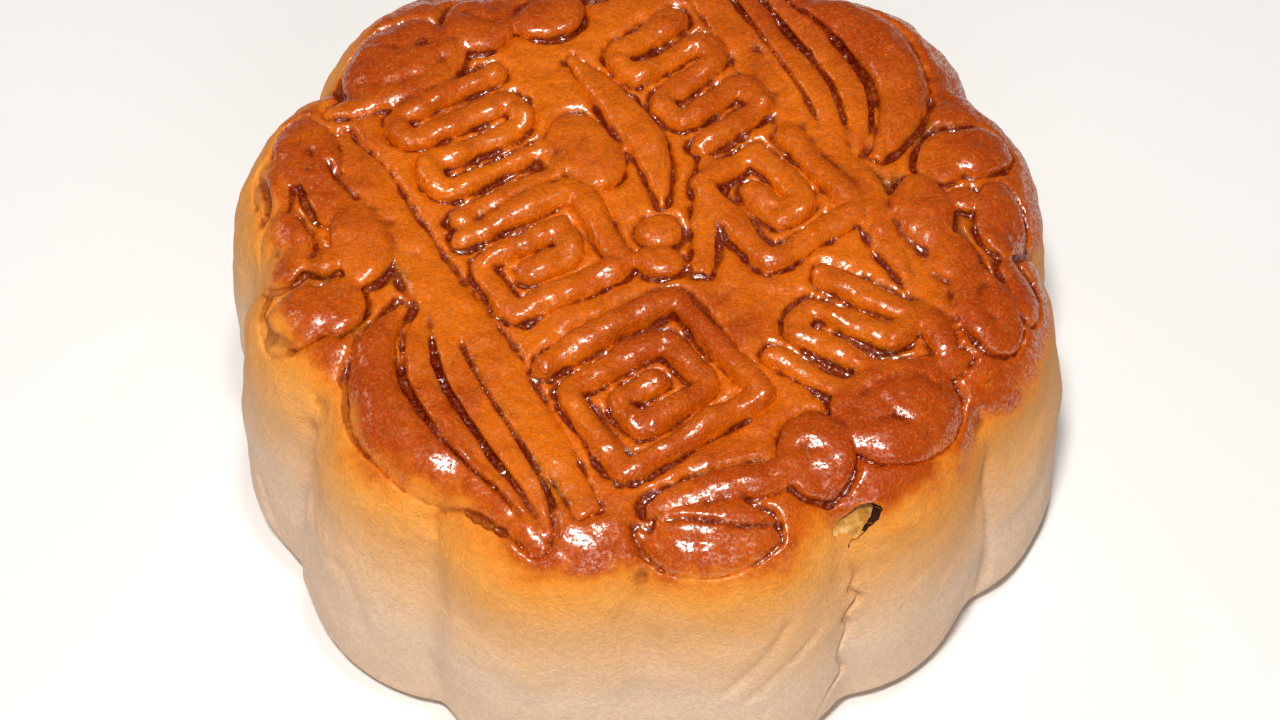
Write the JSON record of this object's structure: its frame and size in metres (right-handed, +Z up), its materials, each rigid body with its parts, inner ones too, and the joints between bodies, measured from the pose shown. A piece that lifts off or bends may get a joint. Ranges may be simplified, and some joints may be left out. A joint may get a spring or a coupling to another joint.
{
  "type": "mooncake",
  "caption": "Whole baked mooncake: a low round cake with a scalloped side, a rolled shoulder and a moulded top of leaves, blossoms and plain key frets.",
  "frame": {"origin": "middle of the box of the flat foot, on the surface that the cake rests on", "axes": "+Z up through the moulded top; -Y towards the front, where two side lobes meet"},
  "size_m": [0.079, 0.0772, 0.0352],
  "materials": {
    "crust": "egg-washed baked crust: glossy orange brown on top, fading to matte pale tan down the side"
  },
  "bodies": {
    "root": {"mooncake": "crust"}
  },
  "joints": []
}
